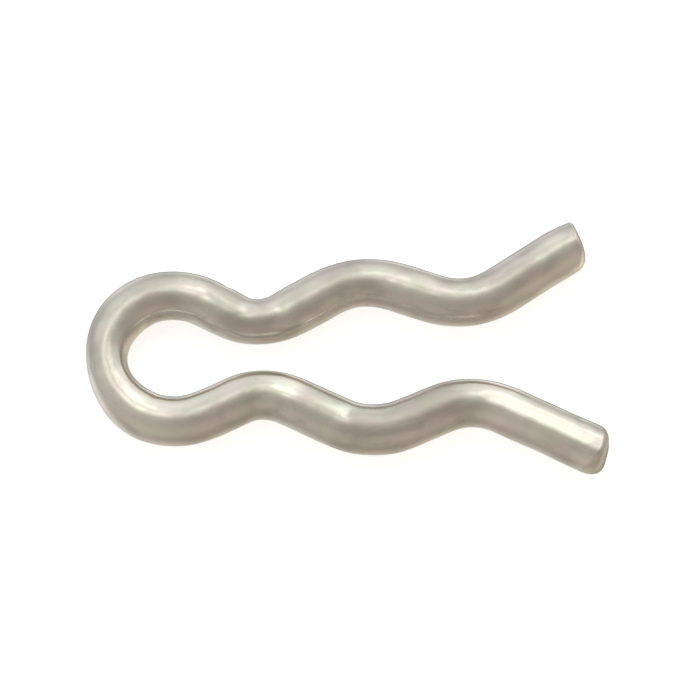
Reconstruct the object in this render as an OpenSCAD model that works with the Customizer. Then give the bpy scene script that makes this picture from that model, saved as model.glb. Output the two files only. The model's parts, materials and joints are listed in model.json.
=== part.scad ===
// Hitch clip bent from one length of round spring wire: a round pull eye, and two waved
// legs that close in at a throat, open round a belly that seats the shaft, close in again
// at a nip and flare into straight lead-in tips. It lies flat on z = 0, with the eye's
// centre over the origin and the tips towards +X.

/* [Wire] */
// Diameter of the round spring wire
wire_d = 4; // [3:0.1:5]
// How much the wire's radius draws down where it is bent
bend_thinning = 0.01; // [0.005:0.005:0.05]

/* [Eye] */
// Clear diameter inside the pull eye
eye_inner_d = 6.7; // [6:0.1:10]
// Depth that the bending tools press off the inner and the outer side of the eye's back
eye_press = 0.35; // [0.1:0.05:0.5]
// Angle each side of the middle of the pressed flats at which they have faded out
eye_press_angle = 50; // [35:1:60]
// How far the flats' middle is turned from the eye's back towards the long leg, in degrees
eye_press_turn = 8; // [-10:1:20]

/* [Gaps between the legs] */
// Clear gap at the throat, where the legs first close in
throat_gap = 2.2; // [1:0.1:3.5]
// Clear gap at the belly, which seats the shaft
belly_gap = 8.4; // [7:0.1:12]
// Clear gap at the nip, which the shaft is pushed through
nip_gap = 4.5; // [3:0.1:5.5]
// How far the middle of the gaps lies from the eye's centre, towards the long leg
gap_offset = 0.2; // [-0.5:0.1:0.5]

/* [Bend radii to the middle of the wire] */
// Inward bend at the throat
throat_bend_r = 4.7; // [3.5:0.1:6]
// Outward bend at the belly
belly_bend_r = 6.8; // [5:0.1:8.5]
// Inward bend at the nip, where the lead-in starts
nip_bend_r = 6.3; // [4:0.1:8]

/* [Short leg, on the +Y side] */
// Slope from the eye down into the throat, in degrees
short_neck_slope = 29.5; // [22:0.5:36]
// Slope from the throat up to the belly, in degrees
short_rise_slope = 28.5; // [20:0.5:34]
// Slope from the belly down to the nip, in degrees
short_fall_slope = 21; // [14:0.5:26]
// Slope of the straight lead-in tip, in degrees
short_tip_slope = 32.5; // [15:0.5:45]
// Length of the straight lead-in tip
short_tip_len = 7.7; // [4:0.1:15]

/* [Long leg, on the -Y side] */
// Slope from the eye down into the throat, in degrees
long_neck_slope = 21.5; // [18:0.5:36]
// Slope from the throat up to the belly, in degrees
long_rise_slope = 26.5; // [20:0.5:34]
// Slope from the belly down to the nip, in degrees
long_fall_slope = 20; // [14:0.5:26]
// Slope of the straight lead-in tip, in degrees
long_tip_slope = 26.5; // [15:0.5:45]
// Length of the straight lead-in tip
long_tip_len = 8.6; // [4:0.1:15]

/* [Cut ends] */
// Angle off square of each cut, which leaves the outer side longer, in degrees
end_skew = 8; // [0:0.5:15]
// Backward lean of each cut, which turns its face a little upward, in degrees
end_lean = 6; // [0:0.5:12]
// Radius that tumbling leaves on the edge of each cut
end_round = 0.6; // [0.2:0.05:0.9]

/* [Hidden] */
$fn = 96;

wire_r = wire_d / 2;
bend_wire_r = wire_r - bend_thinning;

// Each straight run reaches this far into the thinner bends at its ends
joint_lap = 0.05;

// The wire's middle line: the eye's radius, and half the spacing of the legs
eye_r = eye_inner_d / 2 + wire_r;
throat_y = throat_gap / 2 + wire_r;
belly_y = belly_gap / 2 + wire_r;
nip_y = nip_gap / 2 + wire_r;

// Reach of a cutting tool past the wire
tool_reach = 3;

// How far a bend of radius r that turns through the angle a moves the wire sideways
function bend_drop(r, a) = r * (1 - cos(a));

// Straight lengths that bring each slope from one level to the next. The throat's level y
// is measured from the eye's centre.
function neck_len(a, y) = (eye_r * cos(a) - bend_drop(throat_bend_r, a) - y) / sin(a);
function rise_len(a) = (belly_y - throat_y - bend_drop(throat_bend_r + belly_bend_r, a)) / sin(a);
function fall_len(a) = (belly_y - nip_y - bend_drop(belly_bend_r + nip_bend_r, a)) / sin(a);

// A round tool presses the depth d inwards off the circle of radius r round the eye, or
// outwards for d < 0, and meets that circle again at the press angle. These are its
// middle's distance from the eye's centre, away from the flats, and its radius.
function press_x(r, d) = (2 * r * d - d * d) / (2 * (bend_drop(r, eye_press_angle) - d));
function press_r(r, d) = r - d + press_x(r, d);

// A straight run of wire along +X, then whatever follows it
module straight(length) {
    translate([-joint_lap, 0, 0]) rotate([0, 90, 0])
        cylinder(h = length + 2 * joint_lap, r = wire_r);
    translate([length, 0, 0]) children();
}

// A bend of the wire from +X, to the left for turn > 0, then whatever follows it
module bend(radius, turn) {
    side = turn > 0 ? 1 : -1;
    start = turn > 0 ? -90 : 90 + turn;
    translate([0, side * radius, 0]) {
        rotate([0, 0, start]) wire_arc(radius, abs(turn));
        rotate([0, 0, turn]) translate([0, -side * radius, 0]) children();
    }
}

// Bent wire round the Z axis, from +X anticlockwise
module wire_arc(radius, sweep) {
    rotate_extrude(angle = sweep) translate([radius, 0]) circle(r = bend_wire_r);
}

// The room inside a cut: a flat face at x = 0 with a rounded edge, opening out towards -X
module cut_room(length) {
    face_r = wire_r - end_round;
    rotate([0, 90, 0]) rotate_extrude() {
        translate([face_r, -end_round]) intersection() {
            circle(r = end_round);
            square(end_round);
        }
        polygon([
            [0, 0],
            [face_r, 0],
            [face_r, -end_round],
            [wire_r, -end_round],
            [wire_r + length, -end_round - length],
            [0, -end_round - length]
        ]);
    }
}

// The straight lead-in tip along +X, cut off at its end with the +Y side longer
module cut_tip(length) {
    intersection() {
        translate([-joint_lap, 0, 0]) rotate([0, 90, 0])
            cylinder(h = length + tool_reach, r = wire_r);
        translate([length, 0, 0]) rotate([0, -end_lean, -end_skew]) cut_room(length * 2);
    }
}

// One leg on the +Y side, from the end of the eye to its cut end. The offset is how far
// the middle of the gaps lies from the eye's centre, towards this leg.
module leg(neck, rise, fall, tip, tip_len, offset) {
    rotate([0, 0, -neck]) translate([0, eye_r, 0])
        straight(neck_len(neck, throat_y + offset))
        bend(throat_bend_r, neck + rise)
        straight(rise_len(rise))
        bend(belly_bend_r, -rise - fall)
        straight(fall_len(fall))
        bend(nip_bend_r, fall + tip)
        cut_tip(tip_len);
}

module short_leg() {
    leg(short_neck_slope, short_rise_slope, short_fall_slope, short_tip_slope, short_tip_len,
        -gap_offset);
}

module long_leg() {
    mirror([0, 1, 0])
        leg(long_neck_slope, long_rise_slope, long_fall_slope, long_tip_slope, long_tip_len,
            gap_offset);
}

// The eye, from one neck round the back to the other
module eye() {
    height = wire_d + 2 * tool_reach;
    outer_r = eye_r + bend_wire_r;
    inner_r = eye_r - bend_wire_r;
    block = outer_r + tool_reach;
    difference() {
        rotate([0, 0, 90 - short_neck_slope])
            wire_arc(eye_r, 180 + short_neck_slope + long_neck_slope);
        rotate([0, 0, eye_press_turn]) {
            difference() {
                translate([-block, -block, -height / 2]) cube([block, 2 * block, height]);
                translate([press_x(outer_r, eye_press), 0, 0])
                    cylinder(h = 2 * height, r = press_r(outer_r, eye_press), center = true);
            }
            translate([press_x(inner_r, -eye_press), 0, 0])
                cylinder(h = height, r = press_r(inner_r, -eye_press), center = true);
        }
    }
}

module clip_wire() {
    color([0.72, 0.70, 0.66]) translate([0, 0, wire_r]) union() {
        eye();
        short_leg();
        long_leg();
    }
}

clip_wire();
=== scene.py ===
"""Looks of a hitch clip bent from one length of round spring wire.

The packed part is the fixed frame. One closed surface, the wire's section carried along
its bent middle line, stands for the CAD wire and adds what bending, cutting, tumbling and
plating leave on a real one. Lengths are in metres and angles in radians, unless a table
says otherwise.
"""

import json
from math import radians

import bpy
import numpy as np
from bpy.props import FloatProperty, FloatVectorProperty, IntProperty, PointerProperty
from mathutils import Matrix, Vector


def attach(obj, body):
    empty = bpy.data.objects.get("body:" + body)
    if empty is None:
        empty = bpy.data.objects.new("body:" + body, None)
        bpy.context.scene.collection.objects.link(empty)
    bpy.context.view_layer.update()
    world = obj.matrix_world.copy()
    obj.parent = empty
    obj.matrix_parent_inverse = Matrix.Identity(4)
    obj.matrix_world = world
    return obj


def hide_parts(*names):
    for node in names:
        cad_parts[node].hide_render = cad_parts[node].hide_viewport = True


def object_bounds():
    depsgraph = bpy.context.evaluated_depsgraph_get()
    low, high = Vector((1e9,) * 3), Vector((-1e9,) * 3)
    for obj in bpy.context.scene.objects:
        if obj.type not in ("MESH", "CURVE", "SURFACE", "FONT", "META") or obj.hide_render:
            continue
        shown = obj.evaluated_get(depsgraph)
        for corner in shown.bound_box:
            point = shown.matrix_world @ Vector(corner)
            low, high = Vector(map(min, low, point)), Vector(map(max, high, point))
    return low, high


bl_info = {
    "name": "Hitch Clip",
    "version": (1, 0, 0),
    "blender": (4, 5, 0),
    "location": "3D View > Sidebar > Hitch Clip",
    "description": "Bends a plated wire hitch clip and sets its stage",
    "category": "Add Mesh",
}

MM = 0.001
CAD_NODE = "clip_wire"
CAD_BODY = "root"
PIECE_NAME = "plated_clip_wire"
# How far each end of the wire may lie from the packed part's tip.
END_TOLERANCE = 0.05 * MM

# Steps in which the middle line is summed, and rows of points on each rounded edge and on
# each cut face.
LINE_STEPS = 24000
ROUNDED_ROWS = 10
FACE_ROWS = 12

# Steps from the wall (0) to the cut face (1): the last rounded row, and those between
# which the face's shape, colour, roughness and relief come in.
LAST_ROUNDED = 0.999
FACE_SHAPE = (0.9, 1.0)
FACE_COLOUR = (0.3, 1.0)
FACE_ROUGHNESS = (0.0, 0.5)
FACE_RELIEF = (0.6, 1.0)

# Reach of a bend's flattening from its middle, as a share of the bend's length.
FLATTENING_REACH = 0.75
# Length over which the stray's table is smoothed.
STRAY_EASE = 0.7 * MM
# How softly the tip's flat meets the round, and the widest angle from the flat's middle at
# which its depth is worked out.
FLAT_SOFTNESS = 0.012 * MM
FLAT_LIMIT = radians(80)

# The drawn wire's slow waves: each one's length along the wire in millimetres and its
# turns round it. A wave shorter than the full length is lower in proportion.
SLOW_WAVES = ((9, 1), (5.3, 2), (3.7, 1), (2.9, 3), (2.1, 2), (1.7, 4), (1.3, 3), (1.1, 5))
FULL_WAVE = 3
WAVE_SEED = 3

# Least and most of each nick's width in millimetres, its length over its width, and the
# square root of its share of the full depth.
NICK_WIDTH = (0.10, 0.32)
NICK_STRETCH = (1.0, 3.5)
NICK_STRENGTH = (0.15, 1.0)
NICK_SEED = 11

# The tear in a cut face: how far its edge wanders, and the heights over which it ends.
TEAR_WANDER = 0.8 * MM
TEAR_EDGE = (0.40 * MM, 0.65 * MM)

RIM_POINTS = 96
SENSOR_WIDTH = 36.0
# From the middle of the packed part's box to the point that the camera looks at.
AIM_OFFSET = (0.29 * MM, 0.26 * MM, 0.1 * MM)

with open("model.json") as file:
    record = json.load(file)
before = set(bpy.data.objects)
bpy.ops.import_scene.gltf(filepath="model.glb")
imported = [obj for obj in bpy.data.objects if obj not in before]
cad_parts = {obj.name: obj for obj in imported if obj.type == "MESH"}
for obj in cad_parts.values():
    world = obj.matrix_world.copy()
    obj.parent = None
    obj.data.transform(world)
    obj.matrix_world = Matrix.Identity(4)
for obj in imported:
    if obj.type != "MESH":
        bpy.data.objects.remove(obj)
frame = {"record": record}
CAD_LOW, CAD_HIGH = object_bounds()
MOUNTS = {m["name"]: m for m in frame["record"]["mounts"]}
WIRE_RADIUS = MOUNTS["short_tip"]["dims"]["r_mm"] * MM
EYE_RADIUS = MOUNTS["pull_eye"]["dims"]["r_mm"] * MM + WIRE_RADIUS


def length_prop(name, description, default):
    """A size in metres that can't be negative."""
    return FloatProperty(
        name=name, description=description, default=default, min=0.0,
        subtype="DISTANCE", unit="LENGTH", precision=6,
    )


def angle_prop(name, description, degrees):
    """An angle, given here in degrees and kept in radians."""
    return FloatProperty(
        name=name, description=description, default=radians(degrees),
        subtype="ANGLE", unit="ROTATION",
    )


def share_prop(name, description, default):
    """A share from 0 to 1."""
    return FloatProperty(
        name=name, description=description, default=default, min=0.0, max=1.0,
        subtype="FACTOR",
    )


def colour_prop(name, description, default):
    """A linear red, green and blue."""
    return FloatVectorProperty(
        name=name, description=description, default=default, size=3, min=0.0,
        soft_max=1.0, subtype="COLOR",
    )


class WireRoute(bpy.types.PropertyGroup):
    """The round wire, and the bends and gaps that both legs share"""

    wire_radius: length_prop("Wire radius", "Radius of the round wire", WIRE_RADIUS)
    eye_radius: length_prop("Eye radius", "Eye's centre to the wire's middle", EYE_RADIUS)
    throat_radius: length_prop("Throat bend", "Radius of the inward bend at the throat", 4.7 * MM)
    belly_radius: length_prop("Belly bend", "Radius of the outward bend at the belly", 6.8 * MM)
    nip_radius: length_prop("Nip bend", "Radius of the inward bend at the nip", 6.3 * MM)
    throat_gap: length_prop("Throat gap", "Clear gap between the legs at the throat", 2.2 * MM)
    belly_gap: length_prop("Belly gap", "Clear gap that seats the shaft", 8.4 * MM)
    nip_gap: length_prop("Nip gap", "Clear gap that the shaft is pushed through", 4.5 * MM)
    gap_offset: length_prop(
        "Gap offset", "How far the gaps' middle lies towards the long leg", 0.2 * MM
    )
    bend_ease: length_prop(
        "Bend ease", "Length over which the wire eases into and out of a bend", 0.4 * MM
    )
    rows: IntProperty(name="Rows", description="Sections along the wire", default=820, min=50)
    columns: IntProperty(
        name="Columns", description="Points round each section", default=112, min=16
    )


class ShortLeg(bpy.types.PropertyGroup):
    """The short leg, on the +Y side"""

    neck_slope: angle_prop("Neck slope", "Slope from the eye down to the throat", 29.5)
    rise_slope: angle_prop("Rise slope", "Slope from the throat up to the belly", 28.5)
    fall_slope: angle_prop("Fall slope", "Slope from the belly down to the nip", 21.0)
    tip_slope: angle_prop("Tip slope", "Slope of the straight lead-in tip", 32.5)
    tip_length: length_prop("Tip length", "Length of the straight lead-in tip", 7.7 * MM)
    throat_flattening: length_prop("Throat", "Width that bending takes at the throat", 0.42 * MM)
    belly_flattening: length_prop("Belly", "Width that bending takes at the belly", 0.2 * MM)
    nip_flattening: length_prop("Nip", "Width that bending takes at the nip", 0.16 * MM)
    outer_round: length_prop("Outer rounding", "Radius on the cut's outer side", 0.32 * MM)
    inner_round: length_prop("Inner rounding", "Radius on the cut's inner side", 1.05 * MM)


class LongLeg(bpy.types.PropertyGroup):
    """The long leg, on the -Y side"""

    neck_slope: angle_prop("Neck slope", "Slope from the eye down to the throat", 21.5)
    rise_slope: angle_prop("Rise slope", "Slope from the throat up to the belly", 26.5)
    fall_slope: angle_prop("Fall slope", "Slope from the belly down to the nip", 20.0)
    tip_slope: angle_prop("Tip slope", "Slope of the straight lead-in tip", 26.5)
    tip_length: length_prop("Tip length", "Length of the straight lead-in tip", 8.6 * MM)
    throat_flattening: length_prop("Throat", "Width that bending takes at the throat", 0.1 * MM)
    belly_flattening: length_prop("Belly", "Width that bending takes at the belly", 0.0)
    nip_flattening: length_prop("Nip", "Width that bending takes at the nip", 0.14 * MM)
    outer_round: length_prop("Outer rounding", "Radius on the cut's outer side", 1.45 * MM)
    inner_round: length_prop("Inner rounding", "Radius on the cut's inner side", 1.05 * MM)


class WireMarks(bpy.types.PropertyGroup):
    """What the tools leave on the wire"""

    press_depth: length_prop("Press depth", "Depth pressed off each side of the eye", 0.35 * MM)
    press_fade: angle_prop("Press fade", "Angle at which the pressed sides fade out", 58.0)
    press_turn: angle_prop("Press turn", "Turn of the pressed sides to the long leg", 8.0)
    press_square: share_prop("Press squareness", "How flat the pressed sides are", 0.16)
    tip_flat_turn: angle_prop(
        "Tip flat turn", "Turn of the long tip's flat from the top to the gap", 3.8
    )
    tip_flat_reach: angle_prop(
        "Tip flat reach", "Angle each side of its middle that the flat takes", 15.2
    )
    tip_flat_length: length_prop("Tip flat length", "Length of the long tip's flat", 9.9 * MM)
    tip_flat_fade: length_prop("Tip flat fade", "Length over which it runs out", 1.1 * MM)
    end_skew: angle_prop("End skew", "Angle off square that leaves the outer side longer", 8.0)
    end_lean: angle_prop("End lean", "Lean that turns each cut face upward", 6.0)
    end_shear: length_prop("End shear", "Length over which skew and lean grow", 2.2 * MM)
    end_round: length_prop("End rounding", "Radius tumbled on top of each cut", 0.4 * MM)
    face_dome: length_prop("Face dome", "Height of the dome on each cut face", 0.03 * MM)
    face_ledge: length_prop("Face ledge", "Half the height of each face's ledge", 0.02 * MM)
    face_grain: length_prop("Face grain", "Height of the grain below the ledge", 0.006 * MM)
    waviness: length_prop("Waviness", "Height of the drawn wire's slow waves", 0.004 * MM)
    nick_depth: length_prop("Nick depth", "Depth of the deepest handling nick", 0.03 * MM)
    nick_count: IntProperty(
        name="Nicks", description="Number of small handling nicks", default=60, min=0
    )


class WireFinish(bpy.types.PropertyGroup):
    """The bright plating and the bare cuts"""

    metal: colour_prop("Metal", "Colour of the bright plating", (0.72, 0.69, 0.65))
    # The rubbed colour is the painted highlight that the patches lay on the plating; the film
    # colour is both the duller plating's own random clouds and the patches' painted shade.
    rubbed: colour_prop("Rubbed", "Colour where the plating is rubbed bright", (0.84, 0.81, 0.76))
    film: colour_prop("Film", "Colour where the plating is duller", (0.565, 0.53, 0.49))
    gloss_roughness: share_prop("Roughness", "Roughness of the bright plating", 0.22)
    film_roughness: share_prop("Film roughness", "Roughness of the duller plating", 0.30)
    sheared: colour_prop("Sheared", "Colour of a cut where it sheared", (0.50, 0.485, 0.45))
    torn: colour_prop("Torn", "Colour of a cut where it tore", (0.30, 0.295, 0.275))
    sheared_roughness: share_prop("Sheared roughness", "Roughness where it sheared", 0.42)
    torn_roughness: share_prop("Torn roughness", "Roughness where it tore", 0.52)
    rub_roughness: share_prop("Tool rub", "Roughness added where tools rubbed", 0.05)
    burnish: share_prop("Burnish", "Roughness taken off where it is rubbed bright", 0.07)
    haze: share_prop("Haze", "Roughness added where the film is heaviest", 0.1)
    wave_relief: length_prop("Waves", "Height of the plating's slow waves", 0.016 * MM)
    line_relief: length_prop("Drawn lines", "Height of the drawn lines", 0.0016 * MM)
    fine_relief: length_prop("Fine lines", "Height of the finest drawn lines", 0.0006 * MM)
    speck_relief: length_prop("Specks", "Height of the film's specks", 0.0004 * MM)
    torn_relief: length_prop("Torn grain", "Height of the torn grain in a cut", 0.06 * MM)
    shear_relief: length_prop("Shear marks", "Height of a cut's shear marks", 0.012 * MM)
    warm: colour_prop("Warm tint", "Tint of the plating where it is warmer", (1.025, 0.988, 1.018))
    cool: colour_prop("Cool tint", "Tint of the plating where it is cooler", (0.975, 1.008, 0.985))


class StageLook(bpy.types.PropertyGroup):
    """The floor, the lights and the camera"""

    floor_colour: colour_prop("Floor colour", "Colour of the pale floor", (0.82, 0.82, 0.81))
    floor_glow: share_prop("Floor glow", "Light that the floor itself gives", 0.70)
    wall_glow: share_prop("Wall glow", "Light that the wall itself gives", 0.97)
    floor_size: length_prop("Floor size", "Radius of the floor", 1.2)
    camera_azimuth: angle_prop("Camera azimuth", "Turn of the camera round the part", -2.07)
    camera_elevation: angle_prop("Camera elevation", "Height of the camera's view", 72.4)
    camera_roll: angle_prop("Camera roll", "Turn of the camera about its view", 0.6)
    camera_distance: length_prop("Camera distance", "Camera to what it looks at", 0.25)
    camera_lens: FloatProperty(
        name="Lens", description="Focal length for a 36 mm sensor, in millimetres",
        default=159.9, min=10.0,
    )


# Soft lamps of the studio, all far away. Each has its direction (azimuth from +X towards
# +Y and elevation, in degrees), how tightly it is gathered, and its colour and strength.
STUDIO_LAMPS = {
    "key_low": (60, 38, 60, (0.42, 0.50, 0.50)),
    "key_skirt": (48, 22, 5.2, (0.79, 0.80, 0.71)),
    "back_wall": (123, 34, 2, (0.82, 0.82, 0.79)),
    "top_card": (128, 74, 70, (0.60, 0.62, 0.56)),
    "top_bridge": (90, 66, 60, (0.12, 0.12, 0.11)),
    "top_fill": (150, 82, 7, (0.08, 0.07, 0.03)),
    "left_wall": (219, 5, 2.6, (0.43, 0.40, 0.34)),
    "front_wall": (-49, 12, 2.1, (0.44, 0.38, 0.32)),
    "table_left": (187, -46, 8.6, (0.91, 0.92, 0.86)),
    "table_right": (-5, -45, 8, (0.88, 0.81, 0.66)),
    "table_back": (115, -27, 18, (0.58, 0.58, 0.58)),
    "table_back_right": (75, -29, 37, (0.74, 0.76, 0.72)),
    "table_right_back": (45, -32, 30, (0.13, 0.13, 0.12)),
    "table_front": (271, -54, 11, (0.30, 0.25, 0.20)),
    "table_under": (88, -72, 18, (0.72, 0.72, 0.70)),
    "table_near": (270, -84, 14, (0.25, 0.25, 0.23)),
}

# The key light is a round softbox: its direction, the angles from its middle at which it
# starts to fade and has faded out, and its colour and strength.
KEY_SOFTBOX = (63, 57, 8, 17, (0.60, 0.60, 0.53))

# How the bent wire strays from its arcs and straights: length along the wire from the
# eye's back, sideways stray to the left of the wire's run, and growth in width, all in
# millimetres.
STRAY = (
    (-45, 0.02, 0.085), (-43, -0.02, 0.03), (-41, -0.045, -0.02), (-38, -0.06, -0.02),
    (-36.5, -0.045, 0.0), (-34, -0.10, 0.04), (-32, -0.155, 0.05), (-30.3, -0.13, 0.06),
    (-28, -0.02, 0.09), (-23, -0.005, 0.13), (-19, -0.04, 0.12), (-16.5, -0.03, 0.06),
    (-14.2, -0.12, 0.05), (-11.3, 0.05, 0.05), (-8.5, -0.09, 0.04), (-6, -0.07, -0.02),
    (-3.8, -0.09, 0.02), (-1.5, -0.02, 0.0), (1.5, 0.125, -0.04), (5.2, 0.10, -0.03),
    (9.6, -0.08, -0.06), (12.5, -0.005, 0.0), (14.2, -0.05, 0.02), (17.5, 0.06, 0.08),
    (22, 0.035, 0.06), (27, 0.02, 0.04), (31, 0.105, 0.03), (35, 0.07, 0.08),
    (40, 0.02, 0.04), (41.4, 0.01, 0.06), (42.6, -0.02, 0.11), (43.8, -0.15, -0.12),
    (45, -0.38, -0.48),
)

# Marks of the bending pins and of handling: length along the wire from the eye's back in
# millimetres, angle round the section in degrees (0 to the left of the wire's run, 90 on
# top), size along and across the wire, and depth, in millimetres.
DENTS = {
    "short_neck_pin": (11.05, 98, 0.50, 0.60, 0.045),
    "short_throat_pin_1": (14.70, 84, 0.38, 0.45, 0.045),
    "short_throat_pin_2": (17.80, 86, 0.48, 0.48, 0.048),
    "long_throat_pin": (-18.00, 105, 0.80, 0.46, 0.060),
    "long_belly_pin": (-23.05, 106, 0.33, 0.34, 0.070),
    "short_neck_nick": (12.20, 16, 0.22, 0.25, 0.090),
    "eye_back_nick": (-0.70, 48, 0.18, 0.22, 0.060),
}

# Painted light and shade on the plating: spots whose colour is made lighter and glossier as
# painted highlights (above 0), or darker and duller as painted shade (below 0). Each has its
# length along the wire in millimetres, angle round it in degrees, reach along and across the
# wire in millimetres, and strength.
PAINTED_LIGHT_PATCHES = {
    "long_tip_end": (-44.3, 82, 0.35, 0.5, -1.0),
    "long_tip_outer": (-43.8, 26, 0.7, 0.6, 0.9),
    "long_tip": (-40.2, 94, 5.0, 0.8, 0.8),
    "long_tip_inner": (-40.2, 118, 2.2, 0.35, -0.8),
    "long_tip_front": (-39.5, 62, 3.5, 0.8, 0.5),
    "long_nip_front": (-35.2, 44, 1.6, 0.8, 0.7),
    "long_nip_side": (-34.0, 134, 2.0, 0.7, 1.3),
    "long_nip_top": (-31.3, 98, 1.3, 0.8, -0.8),
    "long_belly_top": (-28.8, 96, 3.0, 0.8, -1.8),
    "long_belly_side": (-25.5, 136, 2.2, 0.6, 0.8),
    "long_belly_front": (-26.6, 62, 2.3, 0.6, 1.0),
    "long_belly_dull": (-24.2, 88, 1.0, 0.7, -1.4),
    "long_belly_glint": (-22.9, 100, 0.5, 0.5, 1.0),
    "long_rise_top": (-20.2, 90, 1.2, 0.6, -0.6),
    "long_throat_side": (-15.8, 138, 1.8, 0.8, 1.3),
    "long_throat_top": (-18.0, 100, 1.0, 0.6, 1.0),
    "long_throat_outer": (-16.4, 28, 0.8, 0.35, -0.7),
    "long_throat_front": (-16.0, 56, 1.2, 0.7, 1.0),
    "long_neck_top": (-15.2, 92, 0.8, 0.8, -0.9),
    "eye_lower_side": (-9.2, 130, 3.0, 0.9, 1.0),
    "eye_lower_front": (-8.8, 62, 2.6, 0.6, 1.1),
    "eye_lower_rim": (-7.4, 24, 1.1, 0.6, 1.0),
    "eye_lower_top": (-9.3, 79, 1.4, 0.5, -1.0),
    "eye_left_band": (-5.6, 97, 2.2, 0.5, 1.0),
    "eye_left_side": (-3.8, 114, 1.4, 0.35, -0.7),
    "eye_left_inner": (-1.8, 136, 1.9, 0.45, 1.0),
    "eye_inner_back": (2.5, 152, 1.4, 0.6, -1.3),
    "eye_upper_top": (5.5, 112, 0.7, 0.6, -0.3),
    "eye_upper_back": (4.0, 66, 1.0, 2.2, 0.5),
    "short_neck_front": (9.9, 34, 1.6, 0.6, 0.6),
    "short_neck_top": (10.4, 95, 1.2, 0.6, 1.2),
    "short_neck_dull": (11.4, 64, 0.9, 0.5, -0.8),
    "short_neck_side": (8.9, 118, 1.6, 0.5, -0.8),
    "short_throat_top": (13.4, 68, 0.8, 0.6, -0.9),
    "short_throat_side": (14.0, 118, 1.1, 0.6, -1.1),
    "short_throat_glint": (17.2, 76, 0.8, 0.7, 0.7),
    "short_rise_side": (19.2, 146, 0.7, 0.5, 1.0),
    "short_rise_top": (19.2, 90, 0.8, 0.8, -0.6),
    "short_belly_back": (22.9, 84, 1.2, 1.2, -0.7),
    "short_belly_top": (28.2, 100, 1.8, 0.5, 0.9),
    "short_belly_side": (28.0, 66, 1.0, 0.5, -0.8),
    "short_nip_back": (31.8, 56, 1.1, 0.6, -0.9),
    "short_nip_top": (34.2, 90, 1.2, 0.8, 0.5),
    "short_nip_side": (35.8, 46, 1.2, 0.8, -0.7),
    "short_tip_start": (38.6, 136, 1.9, 0.6, 0.9),
    "short_tip_top": (38.9, 92, 1.3, 0.7, -0.8),
    "short_tip_front": (41.8, 64, 1.3, 0.7, 0.8),
    "short_tip_side": (42.6, 128, 1.2, 0.9, 0.8),
    "short_tip_inner": (43.3, 150, 0.7, 0.6, 0.8),
    "short_tip_end": (44.1, 84, 0.35, 0.8, -1.0),
}

# Cloudy patterns in the finish: distance between features in millimetres, how far they are
# drawn out along, across and up the wire, fineness of detail, and seed.
PATTERNS = {
    "clouds": (1.6, (1.6, 1, 1), 3.0, 2.0),
    "specks": (0.28, (1.5, 1, 1), 2.0, 9.0),
    "lines": (0.16, (70, 1, 1), 2.0, 4.0),
    "fine_lines": (0.07, (90, 1, 1), 1.0, 7.0),
    "waves": (1.3, (1.4, 1, 1), 1.0, 5.0),
    "grain": (0.16, (1, 1, 1), 3.0, 1.0),
    "tones": (2.2, (1.3, 1, 1), 2.0, 13.0),
    "shear_marks": (0.15, (1, 1, 9), 2.0, 17.0),
}

# How a pattern shows in the finish: the two values of the pattern between which it comes
# in, and the shares or roughness that those two give.
CLOUD_FILM = (0.42, 0.66, 0.0, 0.7)
SPECK_FILM = (0.58, 0.75, 0.0, 0.5)
LINE_ROUGHNESS = (0.35, 0.7, -0.02, 0.035)
TORN_LIGHT = (0.35, 0.7, 0.0, 1.0)
SHEAR_STREAKS = (0.3, 0.55, 0.4, 0.0)
WARM_TONES = (0.38, 0.62, 0.0, 1.0)


# ---------------------------------------------------------------- the wire's middle line


def leg_runs(route, leg, offset):
    """Lengths and turns of one leg's runs, from the back of the eye to the cut end.

    Turns are to the left. A bend's length is its radius times its turn. A straight run's
    length is the sideways step left over by the bends beside it, over the sine of its slope.
    """
    wire, throat_r, belly_r, nip_r = (
        route.wire_radius, route.throat_radius, route.belly_radius, route.nip_radius,
    )
    throat_y, belly_y, nip_y = (
        gap / 2 + wire for gap in (route.throat_gap, route.belly_gap, route.nip_gap)
    )
    neck, rise, fall, tip = leg.neck_slope, leg.rise_slope, leg.fall_slope, leg.tip_slope

    def drop(radius, slope):
        return radius * (1 - np.cos(slope))

    start_y = route.eye_radius * np.cos(neck) - drop(throat_r, neck)
    neck_length = (start_y - throat_y - offset) / np.sin(neck)
    rise_length = (belly_y - throat_y - drop(throat_r + belly_r, rise)) / np.sin(rise)
    fall_length = (belly_y - nip_y - drop(belly_r + nip_r, fall)) / np.sin(fall)
    half_eye = np.pi / 2 + neck
    lengths = [
        route.eye_radius * half_eye, neck_length, throat_r * (neck + rise), rise_length,
        belly_r * (rise + fall), fall_length, nip_r * (fall + tip), leg.tip_length,
    ]
    turns = [-half_eye, 0, neck + rise, 0, -rise - fall, 0, fall + tip, 0]
    return np.array(lengths), np.array(turns)


def run_end(route, lengths, turns):
    """The far end of a leg's runs, exactly.

    Each run moves the end by its chord, which is its length times the sine of half its turn
    over half its turn, along the heading at its middle. The leg starts at the back of the
    eye, heading along +Y.
    """
    heading = np.pi / 2 + np.cumsum(turns) - turns / 2
    chord = lengths * np.sinc(turns / (2 * np.pi))
    return np.array([
        (chord * np.cos(heading)).sum() - route.eye_radius, (chord * np.sin(heading)).sum(),
    ])


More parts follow.
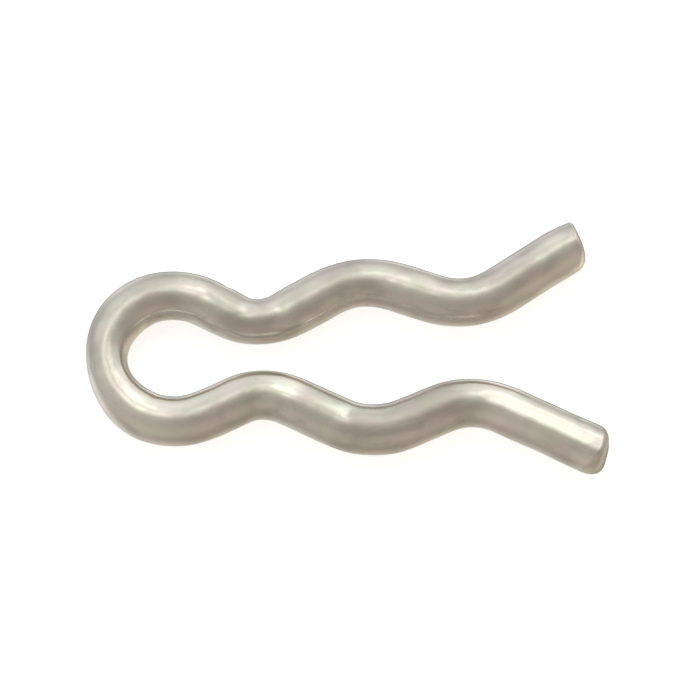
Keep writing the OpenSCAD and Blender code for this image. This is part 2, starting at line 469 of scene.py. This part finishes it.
def middle_line(route, short, long, places):
    """Place and heading of the wire's middle at each length along it.

    Lengths count from the back of the eye, up towards the short tip and down towards the
    long one. Each run's curvature is its turn over its length, averaged with a bell-shaped
    weight, because spring wire eases into a bend. The heading is the curvature's running
    sum, and the place is the running sum of the heading's cosine and sine. What the easing
    moves the tips by is taken off in proportion along each leg, and then the line strays
    sideways as its table says. The growth in width comes from the same table.
    """
    runs = [leg_runs(route, short, -route.gap_offset), leg_runs(route, long, route.gap_offset)]
    (short_l, short_t), (long_l, long_t) = runs
    edges = np.r_[-np.cumsum(long_l)[::-1], 0, np.cumsum(short_l)]
    curvature = np.r_[(long_t / long_l)[::-1], short_t / short_l]
    fine = np.linspace(edges[0], edges[-1], LINE_STEPS + 1)
    step = fine[1] - fine[0]
    bend = curvature[np.clip(np.searchsorted(edges, fine) - 1, 0, len(curvature) - 1)]
    bend = smoothed(bend, step, route.bend_ease)

    def running_sum(values, at_back):
        total = np.r_[0, np.cumsum((values[1:] + values[:-1]) / 2)] * step
        return total + at_back - np.interp(0, fine, total)

    heading = running_sum(bend, np.pi / 2)
    x = running_sum(np.cos(heading), -route.eye_radius)
    y = running_sum(np.sin(heading), 0)
    for (lengths, turns), end, side in zip(runs, (-1, 0), (1, -1)):
        true_x, true_y = run_end(route, lengths, turns) * [1, side]
        along = np.clip(fine / fine[end], 0, 1)
        x += (true_x - x[end]) * along
        y += (true_y - y[end]) * along
    knots, stray, growth = np.array(STRAY).T * MM
    stray, growth = (
        smoothed(np.interp(fine, knots, values), step, STRAY_EASE)
        for values in (stray, growth)
    )
    x, y = x - stray * np.sin(heading), y + stray * np.cos(heading)
    heading = heading + np.arctan(np.gradient(stray, step))
    return [np.interp(places, fine, values) for values in (x, y, heading, growth)], edges


def smoothed(values, step, length):
    """Each value's average with a bell-shaped weight of the given length, ends held."""
    reach = int(4 * length / step)
    weight = np.exp(-0.5 * (np.arange(-reach, reach + 1) * step / length) ** 2)
    return np.convolve(np.pad(values, reach, "edge"), weight / weight.sum(), "valid")


def check_tips(route, short, long):
    """Stops the script if the route doesn't end where the packed part's tips do."""
    for name, leg, side in (("short_tip", short, 1), ("long_tip", long, -1)):
        lengths, turns = leg_runs(route, leg, -side * route.gap_offset)
        end = run_end(route, lengths, turns) * [1, side]
        mount = MOUNTS[name]
        packed = np.array(mount["pos_m"]) + np.array(mount["axis"]) * leg.tip_length / 2
        miss = np.hypot(*(end - packed[:2]))
        if miss > END_TOLERANCE:
            raise RuntimeError(f"the wire misses the packed {name} by {miss / MM:.3f} mm")


# ---------------------------------------------------------------- the wire's surface


def hump(x):
    """1 at x = 0, falling as a squared cosine to 0 at x = -1 and x = 1, and 0 beyond."""
    return np.cos(np.clip(x, -1, 1) * np.pi / 2) ** 2


def ease(x):
    """0 up to x = 0 and 1 from x = 1, with level ends: three x squared less two x cubed."""
    x = np.clip(x, 0, 1)
    return x * x * (3 - 2 * x)


def side_loss(route, legs, marks, edges, along):
    """How much narrower each side of the wire is, in the plane of the bends.

    The press takes a squared cosine of the angle from its middle, and each bend takes half
    its flattening, as a squared cosine that ends a little outside the bend.
    """
    angle = along / route.eye_radius + marks.press_turn
    pressed = hump(angle / marks.press_fade)
    loss = marks.press_depth * pressed
    short, long = legs
    for leg, sign in ((short, 1), (long, -1)):
        runs = edges[edges * sign > 0] * sign
        runs = np.sort(np.r_[0, runs])
        for bend, taken in (
            (2, leg.throat_flattening), (4, leg.belly_flattening), (6, leg.nip_flattening),
        ):
            start, stop = runs[bend], runs[bend + 1]
            middle, reach = (start + stop) / 2, (stop - start) * FLATTENING_REACH
            loss = loss + taken / 2 * hump((along * sign - middle) / reach)
    return loss, pressed


def slow_waves(along, around, height, seed):
    """Small waves all over the wire.

    Each is a sine along the wire times a cosine round it, both with phases of their own.
    """
    draw = np.random.default_rng(seed)
    total = 0.0
    for wave_length, turns in SLOW_WAVES:
        phase = draw.uniform(0, 2 * np.pi, 2)
        size = height * min(1.0, wave_length / FULL_WAVE)
        wave = np.sin(2 * np.pi * along / (wave_length * MM) + phase[0])
        total = total + size * wave * np.cos(turns * around + phase[1])
    return total


def bell(route, along, around, place, angle, length, width, turn=0.0):
    """A bell-shaped spot on the wire: e to the minus half of its squared distance.

    The distance is measured along and across the turned spot, in its own length and width.
    """
    ahead = along - place
    across = route.wire_radius * ((around - angle + np.pi) % (2 * np.pi) - np.pi)
    u = (ahead * np.cos(turn) + across * np.sin(turn)) / length
    v = (across * np.cos(turn) - ahead * np.sin(turn)) / width
    return np.exp(-(u * u + v * v) / 2)


def placed_spots(route, along, around, spots):
    """The sum of bell-shaped spots from a table, each at its own strength."""
    total = 0.0
    for place, angle, length, width, strength in spots.values():
        total = total + strength * bell(
            route, along, around, place * MM, radians(angle), length * MM, width * MM
        )
    return total


def scattered_nicks(route, along, around, depth, count, seed):
    """Handling nicks: bell-shaped dents, each with its own place, size, turn and depth."""
    draw = np.random.default_rng(seed)
    total = 0.0
    for _ in range(count):
        place, angle = draw.uniform(along.min(), along.max()), draw.uniform(0, 2 * np.pi)
        size, turn = draw.uniform(*NICK_WIDTH) * MM, draw.uniform(0, np.pi)
        stretch, strength = draw.uniform(*NICK_STRETCH), depth * draw.uniform(*NICK_STRENGTH) ** 2
        total = total + strength * bell(
            route, along, around, place, angle, size * stretch, size, turn
        )
    return total


def flat_loss(radius, around, turn, reach):
    """How much a flat takes off the round.

    A flat whose middle is at the angle 90 degrees plus its turn lies at the radius times
    the cosine of its reach, so at another angle it meets the section at that over the
    cosine of the angle from its middle. Where that is above the round nothing comes off,
    and the step between the two is softened as a hyperbola.
    """
    away = np.clip(np.abs(around - np.pi / 2 - turn), 0, FLAT_LIMIT)
    depth = radius - radius * np.cos(reach) / np.cos(away)
    return (depth + np.sqrt(depth * depth + FLAT_SOFTNESS**2)) / 2


def wire_surface(route, legs, marks):
    """The closed surface of the wire, as a grid of rows along it and columns round it.

    A point is the middle line's place, plus the half width times the cosine of its angle
    round the section across the plane, plus the radius times its sine upward. At each end
    the section draws in on a quarter circle, whose radius blends from side to top by the
    squares of the angle's cosine and sine, and then runs level to the middle of the cut
    face. Near an end each point slides along the wire, by its place across times the
    tangent of the skew less its height times the tangent of the lean.
    """
    wire = route.wire_radius
    _, edges = middle_line(route, *legs, np.zeros(1))
    low, high = edges[0], edges[-1]
    around = np.linspace(0, 2 * np.pi, route.columns, endpoint=False) - np.pi / 2
    phi = around[None, :]
    cos, sin = np.cos(phi), np.sin(phi)

    # From the first cut to the last, each row has a share of the section's full size, a
    # distance back from the cut and a step from the wall (0) to the face (1).
    quarter = np.linspace(0, np.pi / 2, ROUNDED_ROWS + 1)[1:, None]
    inward = np.linspace(1, 0, FACE_ROWS + 1)[1:, None]
    high_round, low_round = (
        np.where(cos > 0, leg.outer_round, leg.inner_round) * cos**2 + marks.end_round * sin**2
        for leg in legs
    )

    def cap(rounding):
        corner = 1 - rounding / wire * (1 - np.cos(quarter))
        back = rounding * (1 - np.sin(quarter))
        step = quarter / (np.pi / 2) * LAST_ROUNDED + 0 * phi
        return (
            np.concatenate([corner, corner[-1:] * inward]),
            np.concatenate([back, 0 * inward + 0 * phi]),
            np.concatenate([step, 1 + 0 * inward + 0 * phi]),
        )

    wall = np.linspace(0, 1, route.rows)[:, None]
    low_share, low_back, low_cut = cap(low_round)
    high_share, high_back, high_cut = cap(high_round)
    wall_along = (low + low_round) * (1 - wall) + (high - high_round) * wall
    s = np.concatenate([low + low_back[::-1], wall_along, high - high_back])
    share = np.concatenate([low_share[::-1], 1 + 0 * wall_along, high_share])
    cut = np.concatenate([low_cut[::-1], 0 * wall_along, high_cut])

    (x, y, heading, growth), _ = middle_line(route, *legs, s)
    loss, pressed = side_loss(route, legs, marks, edges, s)
    on_flat = 1 - ease((s - low - marks.tip_flat_length) / marks.tip_flat_fade)
    relief = (
        slow_waves(s, phi, marks.waviness, WAVE_SEED)
        - scattered_nicks(route, s, phi, marks.nick_depth, marks.nick_count, NICK_SEED)
        - placed_spots(route, s, phi, DENTS) * MM
        - on_flat * flat_loss(wire, phi, marks.tip_flat_turn, marks.tip_flat_reach)
    )
    radius = wire + relief * (1 - cut)
    across = (
        share * (radius - loss + growth / 2) * cos
        * (1 + marks.press_square * pressed * sin**2)
    )
    upward = share * radius * sin

    fade_low, fade_high = (1 - ease(d / marks.end_shear) for d in (s - low, high - s))
    start, stop = FACE_SHAPE
    face = ease((cut - start) / (stop - start))
    ahead = (fade_high - fade_low) * (
        np.tan(marks.end_skew) * across - np.tan(marks.end_lean) * upward
        + face * face_relief(marks, across, upward, wire)
    )
    points = np.stack([
        x - across * np.sin(heading) + ahead * np.cos(heading),
        y + across * np.cos(heading) + ahead * np.sin(heading),
        upward + wire + CAD_LOW.z,
    ], axis=-1)
    place = np.stack([s, across, upward], axis=-1)
    tool = np.clip(loss / marks.press_depth, 0, 1) * cos**2
    # Painted light and shade: the patch table's painted highlights and painted shade, kept off the
    # cut faces.
    painted_light = placed_spots(route, s, phi, PAINTED_LIGHT_PATCHES) * (1 - cut)
    return points, place, cut, tool, painted_light


def face_relief(marks, across, upward, wire):
    """Height of a sheared face: a low dome, a ledge where the shear gave way, and grain.

    The dome falls with the square of the distance from the middle, the ledge is a
    hyperbolic tangent of the height above a wavy line, and the grain below it is the
    product of two sines.
    """
    u, v = across / wire, upward / wire
    dome = marks.face_dome * (1 - u * u - v * v)
    ledge = marks.face_ledge * np.tanh((v + 0.25 + 0.12 * np.sin(5 * u + 1)) * 9)
    grain = np.sin(17 * u + 3 * v) * np.sin(13 * v - 5 * u + 1) * (v < -0.25)
    return dome - ledge + marks.face_grain * grain


def closed_mesh(name, grid):
    """A mesh from a grid of rows and columns that closes round on itself.

    The first and the last row are drawn to one point each and become the poles. Corners
    run so that the faces point outward.
    """
    rows, columns = grid.shape[:2]
    body = np.arange(1, rows - 1)
    ring = np.arange(columns)
    after = (ring + 1) % columns
    start = 1 + (body - 1)[:-1, None] * columns
    quads = np.stack(
        [start + ring, start + after, start + columns + after, start + columns + ring], -1
    ).reshape(-1, 4)
    last_ring = 1 + (rows - 3) * columns
    last = last_ring + columns
    first_fan = np.stack([0 * ring, 1 + after, 1 + ring], -1)
    last_fan = np.stack([0 * ring + last, last_ring + ring, last_ring + after], -1)
    mesh = bpy.data.meshes.new(name)
    mesh.from_pydata(
        flat_rows(grid), [], quads.tolist() + first_fan.tolist() + last_fan.tolist()
    )
    mesh.update()
    mesh.polygons.foreach_set("use_smooth", np.ones(len(mesh.polygons), bool))
    return mesh


def flat_rows(grid):
    """The grid's values in the order of the mesh's points: pole, rings, pole."""
    flat = grid[1:-1].reshape(-1, *grid.shape[2:])
    return np.concatenate([grid[:1, 0], flat, grid[-1:, 0]])


def add_attribute(mesh, name, kind, grid):
    """Keeps one value or vector for each point, for the material to read."""
    field = "vector" if kind == "FLOAT_VECTOR" else "value"
    values = flat_rows(grid).astype(np.float32).ravel()
    mesh.attributes.new(name, kind, "POINT").data.foreach_set(field, values)


# ---------------------------------------------------------------- materials


def add_node(tree, kind, inputs=None, **settings):
    """Adds a node. An input given as a socket is linked, and any other value is set."""
    node = tree.nodes.new(kind)
    for name, value in settings.items():
        setattr(node, name, value)
    for name, value in (inputs or {}).items():
        if isinstance(value, bpy.types.NodeSocket):
            tree.links.new(value, node.inputs[name])
        else:
            node.inputs[name].default_value = value
    return node


def empty_tree(block):
    """Turns nodes on and clears them."""
    block.use_nodes = True
    block.node_tree.nodes.clear()
    return block.node_tree


def attribute(tree, name, output):
    """A value that the piece's own mesh carries."""
    return add_node(tree, "ShaderNodeAttribute", attribute_name=name).outputs[output]


def noise(tree, place, spacing, stretch, detail, seed):
    """Cloudy pattern with features about spacing apart, drawn out along stretched axes."""
    scale = [1 / (spacing * part) for part in stretch]
    mapped = add_node(
        tree, "ShaderNodeMapping",
        {"Vector": place, "Scale": scale, "Location": (seed, 0, 0)},
    )
    made = add_node(
        tree, "ShaderNodeTexNoise",
        {"Vector": mapped.outputs[0], "Scale": 1.0, "Detail": detail, "Roughness": 0.5},
    )
    return made.outputs["Fac"]


def fit_range(tree, value, low, high, to_low=0.0, to_high=1.0):
    """Moves low..high onto to_low..to_high, level outside."""
    return add_node(
        tree, "ShaderNodeMapRange",
        {"Value": value, "From Min": low, "From Max": high, "To Min": to_low,
         "To Max": to_high},
        interpolation_type="SMOOTHSTEP",
    ).outputs[0]


def arithmetic(tree, operation, result, *values):
    """One operation on numbers or sockets, each taken in turn."""
    for value in values:
        made = add_node(tree, "ShaderNodeMath", {0: result, 1: value}, operation=operation)
        result = made.outputs[0]
    return result


def mix_colour(tree, share, first, second, blend="MIX"):
    """A blend of two colours, each a socket or a plain colour."""
    first, second = (
        value if isinstance(value, bpy.types.NodeSocket) else (*value, 1)
        for value in (first, second)
    )
    made = add_node(
        tree, "ShaderNodeMix", {0: share, 6: first, 7: second}, data_type="RGBA",
        blend_type=blend,
    )
    return made.outputs[2]


def bump(tree, height, distance, normal=None):
    """Tilts the surface by a height pattern whose full range is distance."""
    inputs = {"Height": height, "Distance": distance, "Strength": 1.0}
    if normal is not None:
        inputs["Normal"] = normal
    return add_node(tree, "ShaderNodeBump", inputs).outputs[0]


def plated_material(finish):
    """Bright plating on drawn wire.

    Fine lines run along the wire where the die drew it, the plating pools into slightly
    duller clouds and specks, and placed spots of painted highlight and painted shade make the
    plating's colour lighter or darker. The cut faces are bare: streaked where the blade
    sheared them, dark and grainy where they tore.
    """
    material = bpy.data.materials.new("bright_plated_wire")
    tree = empty_tree(material)
    place = attribute(tree, "wire_place", "Vector")
    cut = attribute(tree, "cut_face", "Fac")
    rub = attribute(tree, "tool_rub", "Fac")
    # The painted light and shade that the patch table lays on the plating.
    painted_light = attribute(tree, "painted_light", "Fac")
    pattern = {
        name: noise(tree, place, spacing * MM, *shape)
        for name, (spacing, *shape) in PATTERNS.items()
    }

    # The tear takes the lower part of each face, up to an edge that wanders.
    upward = add_node(tree, "ShaderNodeSeparateXYZ", {0: place}).outputs[2]
    wander = arithmetic(tree, "ADD", pattern["specks"], pattern["waves"])
    wander = arithmetic(tree, "MULTIPLY", wander, TEAR_WANDER)
    level = arithmetic(tree, "ADD", upward, wander)
    tear = fit_range(tree, level, *TEAR_EDGE, 1.0, 0.0)

    # Painted light and shade: above 0 the patches blend the colour towards the rubbed colour as a
    # painted highlight, below 0 towards the film colour as painted shade, on top of the film's own
    # random clouds and specks.
    bright = fit_range(tree, painted_light, 0.0, 1.0)
    film = arithmetic(
        tree, "MAXIMUM",
        fit_range(tree, pattern["clouds"], *CLOUD_FILM),
        fit_range(tree, pattern["specks"], *SPECK_FILM),
        fit_range(tree, painted_light, -1.0, 0.0, 1.0, 0.0),
    )
    film = arithmetic(tree, "MULTIPLY", film, arithmetic(tree, "SUBTRACT", 1.0, bright))
    colour = mix_colour(tree, bright, finish.metal, finish.rubbed)
    colour = mix_colour(tree, film, colour, finish.film)

    light = fit_range(tree, pattern["grain"], *TORN_LIGHT)
    torn = mix_colour(tree, light, finish.torn, finish.sheared)
    streaks = fit_range(tree, pattern["shear_marks"], *SHEAR_STREAKS)
    sheared = mix_colour(tree, streaks, finish.sheared, finish.torn)
    face = mix_colour(tree, tear, sheared, torn)
    colour = mix_colour(tree, fit_range(tree, cut, *FACE_COLOUR), colour, face)
    warmth = fit_range(tree, pattern["tones"], *WARM_TONES)
    tint = mix_colour(tree, warmth, finish.cool, finish.warm)
    colour = mix_colour(tree, 1.0, colour, tint, "MULTIPLY")

    roughness = arithmetic(
        tree, "ADD",
        fit_range(tree, film, 0.0, 1.0, finish.gloss_roughness, finish.film_roughness),
        fit_range(tree, pattern["lines"], *LINE_ROUGHNESS),
        arithmetic(tree, "MULTIPLY", rub, finish.rub_roughness),
        arithmetic(tree, "MULTIPLY", bright, -finish.burnish),
        fit_range(tree, painted_light, -2.0, -1.0, finish.haze, 0.0),
    )
    cut_roughness = fit_range(
        tree, tear, 0.0, 1.0, finish.sheared_roughness, finish.torn_roughness
    )
    roughness = add_node(
        tree, "ShaderNodeMix",
        {0: fit_range(tree, cut, *FACE_ROUGHNESS), 2: roughness, 3: cut_roughness},
    ).outputs[0]

    on_face = fit_range(tree, cut, *FACE_RELIEF)
    torn_grain = arithmetic(tree, "MULTIPLY", pattern["grain"], tear, on_face)
    face_marks = arithmetic(tree, "MULTIPLY", pattern["shear_marks"], on_face)
    normal = None
    for height, relief in (
        (pattern["waves"], finish.wave_relief),
        (pattern["lines"], finish.line_relief),
        (pattern["fine_lines"], finish.fine_relief),
        (pattern["specks"], finish.speck_relief),
        (torn_grain, finish.torn_relief),
        (face_marks, finish.shear_relief),
    ):
        normal = bump(tree, height, relief, normal)

    shader = add_node(
        tree, "ShaderNodeBsdfPrincipled",
        {"Base Color": colour, "Metallic": 1.0, "Roughness": roughness, "Normal": normal},
    )
    add_node(tree, "ShaderNodeOutputMaterial", {"Surface": shader.outputs[0]})
    return material


def glowing_material(name, colour, glow):
    """A matt pale surface that gives a little light of its own, like a light table."""
    material = bpy.data.materials.new(name)
    tree = empty_tree(material)
    shader = add_node(
        tree, "ShaderNodeBsdfPrincipled",
        {"Base Color": (*colour, 1), "Roughness": 0.9, "Specular IOR Level": 0.1,
         "Emission Color": (1, 1, 0.995, 1), "Emission Strength": glow},
    )
    add_node(tree, "ShaderNodeOutputMaterial", {"Surface": shader.outputs[0]})
    return material


def studio_world(lamps, softbox):
    """Soft lamps at a great distance.

    Each lamp's brightness in a direction is its strength times e to the power of its
    tightness times the cosine of the angle to its middle less one. The softbox is even
    out to its first angle and fades out at its second.
    """
    world = bpy.data.worlds.new("studio_light")
    tree = empty_tree(world)
    ray = add_node(tree, "ShaderNodeTexCoord").outputs["Generated"]

    def facing(azimuth, elevation):
        a, e = radians(azimuth), radians(elevation)
        axis = (np.cos(e) * np.cos(a), np.cos(e) * np.sin(a), np.sin(e))
        made = add_node(
            tree, "ShaderNodeVectorMath", {0: ray, 1: axis}, operation="DOT_PRODUCT"
        )
        return made.outputs["Value"]

    def scaled(colour, share):
        made = add_node(
            tree, "ShaderNodeVectorMath", {0: colour, "Scale": share}, operation="SCALE"
        )
        return made.outputs[0]

    azimuth, elevation, inner, outer, colour = softbox
    share = fit_range(
        tree, facing(azimuth, elevation), np.cos(radians(outer)), np.cos(radians(inner))
    )
    total = scaled(colour, share)
    for azimuth, elevation, tightness, colour in lamps.values():
        away = arithmetic(tree, "SUBTRACT", facing(azimuth, elevation), 1.0)
        power = arithmetic(tree, "MULTIPLY", away, tightness)
        share = add_node(tree, "ShaderNodeMath", {0: power}, operation="EXPONENT").outputs[0]
        total = add_node(
            tree, "ShaderNodeVectorMath", {0: total, 1: scaled(colour, share)},
            operation="ADD",
        ).outputs[0]
    background = add_node(tree, "ShaderNodeBackground", {"Color": total, "Strength": 1.0})
    add_node(tree, "ShaderNodeOutputWorld", {"Surface": background.outputs[0]})
    return world


# ---------------------------------------------------------------- operators and panel


class CLIP_OT_bend_wire(bpy.types.Operator):
    """Bends, cuts and plates the clip's one wire"""

    bl_idname = "clip.bend_wire"
    bl_label = "Bend the wire"
    bl_options = {"REGISTER", "UNDO"}

    def execute(self, context):
        scene = context.scene
        route, marks = scene.clip_route, scene.clip_marks
        legs = scene.clip_short_leg, scene.clip_long_leg
        check_tips(route, *legs)
        points, place, cut, tool, painted_light = wire_surface(route, legs, marks)
        mesh = closed_mesh(PIECE_NAME, points)
        add_attribute(mesh, "wire_place", "FLOAT_VECTOR", place)
        add_attribute(mesh, "cut_face", "FLOAT", cut)
        add_attribute(mesh, "tool_rub", "FLOAT", tool)
        # Painted highlight and painted shade from the patch table, for the material.
        add_attribute(mesh, "painted_light", "FLOAT", painted_light)
        mesh.materials.append(plated_material(scene.clip_finish))
        piece = bpy.data.objects.new(PIECE_NAME, mesh)
        scene.collection.objects.link(piece)
        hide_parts(CAD_NODE)
        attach(piece, CAD_BODY)
        return {"FINISHED"}


class CLIP_OT_set_stage(bpy.types.Operator):
    """Lays the floor, hangs the soft lamps and places the camera"""

    bl_idname = "clip.set_stage"
    bl_label = "Set the stage"
    bl_options = {"REGISTER", "UNDO"}

    def execute(self, context):
        scene = context.scene
        look = scene.clip_stage
        self.lay_floor(scene, look)
        scene.world = studio_world(STUDIO_LAMPS, KEY_SOFTBOX)
        scene.view_settings.view_transform = "Standard"
        self.place_camera(scene, look)
        return {"FINISHED"}

    @staticmethod
    def lay_floor(scene, look):
        """A flat disc under the part, and a wall round it that only the camera sees."""
        around = np.linspace(0, 2 * np.pi, RIM_POINTS, endpoint=False)
        rim = np.stack([np.cos(around), np.sin(around), 0 * around], -1) * look.floor_size
        rim[:, 2] = CAD_LOW.z
        top = rim + [0, 0, look.floor_size]
        ring = np.arange(RIM_POINTS)
        after = (ring + 1) % RIM_POINTS
        walls = np.stack([after, ring, ring + RIM_POINTS, after + RIM_POINTS], -1)
        parts = (
            ("pale_floor", rim, [ring.tolist()], look.floor_glow, True),
            ("pale_wall", np.r_[rim, top], walls.tolist(), look.wall_glow, False),
        )
        for name, points, faces, glow, lights_part in parts:
            mesh = bpy.data.meshes.new(name)
            mesh.from_pydata(points, [], faces)
            mesh.materials.append(glowing_material(name, look.floor_colour, glow))
            made = bpy.data.objects.new(name, mesh)
            made.visible_glossy = False
            made.visible_diffuse = made.visible_shadow = lights_part
            scene.collection.objects.link(made)

    @staticmethod
    def place_camera(scene, look):
        """The camera looks at the middle of the part from its azimuth and elevation."""
        a, e, roll = look.camera_azimuth, look.camera_elevation, look.camera_roll
        back = Vector((np.sin(a) * np.cos(e), -np.cos(a) * np.cos(e), np.sin(e)))
        right = Vector((np.cos(a), np.sin(a), 0))
        up = back.cross(right)
        right, up = (
            right * np.cos(roll) + up * np.sin(roll),
            up * np.cos(roll) - right * np.sin(roll),
        )
        aim = (CAD_LOW + CAD_HIGH) / 2 + Vector(AIM_OFFSET)
        data = bpy.data.cameras.new("bench_view")
        data.sensor_width = SENSOR_WIDTH
        data.lens = look.camera_lens
        data.clip_start, data.clip_end = 0.01, 10.0
        camera = bpy.data.objects.new("bench_view", data)
        turn = Matrix((right, up, back)).transposed().to_4x4()
        camera.matrix_world = Matrix.Translation(aim + back * look.camera_distance) @ turn
        scene.collection.objects.link(camera)
        scene.camera = camera


class CLIP_PT_sidebar(bpy.types.Panel):
    """Sizes and looks of the hitch clip"""

    bl_idname = "CLIP_PT_sidebar"
    bl_label = "Hitch Clip"
    bl_space_type = "VIEW_3D"
    bl_region_type = "UI"
    bl_category = "Hitch Clip"

    def draw(self, context):
        layout = self.layout
        for name, group in SCENE_GROUPS.items():
            box = layout.box()
            box.label(text=group.__doc__)
            settings = getattr(context.scene, name)
            for prop in group.__annotations__:
                box.prop(settings, prop)
        for operator in OPERATORS:
            layout.operator(operator.bl_idname)


SCENE_GROUPS = {
    "clip_route": WireRoute,
    "clip_short_leg": ShortLeg,
    "clip_long_leg": LongLeg,
    "clip_marks": WireMarks,
    "clip_finish": WireFinish,
    "clip_stage": StageLook,
}
OPERATORS = (CLIP_OT_bend_wire, CLIP_OT_set_stage)
CLASSES = (*SCENE_GROUPS.values(), *OPERATORS, CLIP_PT_sidebar)


def register():
    """Adds the classes, and each settings group to the scene."""
    for made in CLASSES:
        bpy.utils.register_class(made)
    for name, group in SCENE_GROUPS.items():
        setattr(bpy.types.Scene, name, PointerProperty(type=group))


def unregister():
    """Takes away what register added."""
    for name in SCENE_GROUPS:
        delattr(bpy.types.Scene, name)
    for made in reversed(CLASSES):
        bpy.utils.unregister_class(made)


def main():
    """Builds the clip and its stage."""
    register()
    bpy.ops.clip.bend_wire()
    bpy.ops.clip.set_stage()


if __name__ == "__main__":
    main()
